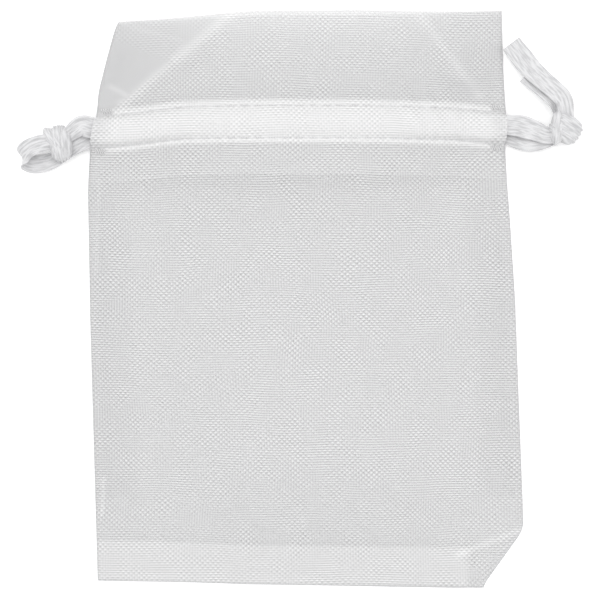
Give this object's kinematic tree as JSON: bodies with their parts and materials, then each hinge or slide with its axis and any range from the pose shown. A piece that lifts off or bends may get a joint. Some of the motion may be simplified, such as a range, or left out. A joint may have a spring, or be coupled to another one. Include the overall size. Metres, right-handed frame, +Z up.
{
  "type": "drawstring gift pouch",
  "caption": "Small flat sheer organza gift pouch with a sewn drawstring channel and a knotted satin ribbon that closes its neck.",
  "frame": {"origin": "middle of the pouch's own cloth in X and Y, at the underside of the back panel; the ribbon's loose ends are left out", "axes": "+X to the right across the pouch, +Y from the bottom seam towards the mouth, +Z up out of the front panel"},
  "size_m": [0.1008, 0.1032, 0.0074],
  "materials": {
    "organza": "sheer plain weave with a faint sheen",
    "satin_ribbon": "white satin, glossy along its length",
    "thread": "white polyester sewing thread"
  },
  "bodies": {
    "pouch": {"back_panel": "organza", "front_panel": "organza", "back_channel_strip": "organza", "front_channel_strip": "organza", "left_seam_allowance": "organza", "right_seam_allowance": "organza", "bottom_seam_allowance": "organza", "left_seam_stitching": "thread", "right_seam_stitching": "thread", "bottom_seam_stitching": "thread", "back_upper_channel_stitching": "thread", "back_lower_channel_stitching": "thread", "front_upper_channel_stitching": "thread", "front_lower_channel_stitching": "thread", "back_ribbon_run": "satin_ribbon", "front_ribbon_run": "satin_ribbon"},
    "left_neck": {"left_channel_bartacks": "thread"},
    "right_neck": {"right_channel_bartacks": "thread"},
    "left_pull": {"left_pull_loop": "satin_ribbon", "left_pull_knot": "satin_ribbon"},
    "right_pull": {"right_long_tail": "satin_ribbon", "right_short_tail": "satin_ribbon", "right_tail_knot": "satin_ribbon"}
  },
  "joints": [
    {"name": "left_neck_gather", "type": "slide", "parent": "pouch", "child": "left_neck", "axis": [1, 0, 0], "range_m": [0, 0.022], "deforming": ["back_panel", "front_panel", "back_channel_strip", "front_channel_strip", "left_seam_allowance", "bottom_seam_allowance", "left_seam_stitching", "bottom_seam_stitching", "back_upper_channel_stitching", "back_lower_channel_stitching", "front_upper_channel_stitching", "front_lower_channel_stitching", "back_ribbon_run", "front_ribbon_run"]},
    {"name": "right_neck_gather", "type": "slide", "parent": "pouch", "child": "right_neck", "axis": [-1, 0, 0], "range_m": [0, 0.022], "deforming": ["right_seam_allowance", "right_seam_stitching"]},
    {"name": "left_pull_slide", "type": "slide", "parent": "left_neck", "child": "left_pull", "axis": [-1, 0, 0], "range_m": [0, 0.022]},
    {"name": "right_pull_slide", "type": "slide", "parent": "right_neck", "child": "right_pull", "axis": [1, 0, 0], "range_m": [0, 0.022]}
  ],
  "couplings": [
    {"joint": "left_pull_slide", "follows": "left_neck_gather", "ratio": 1},
    {"joint": "right_pull_slide", "follows": "right_neck_gather", "ratio": 1}
  ]
}
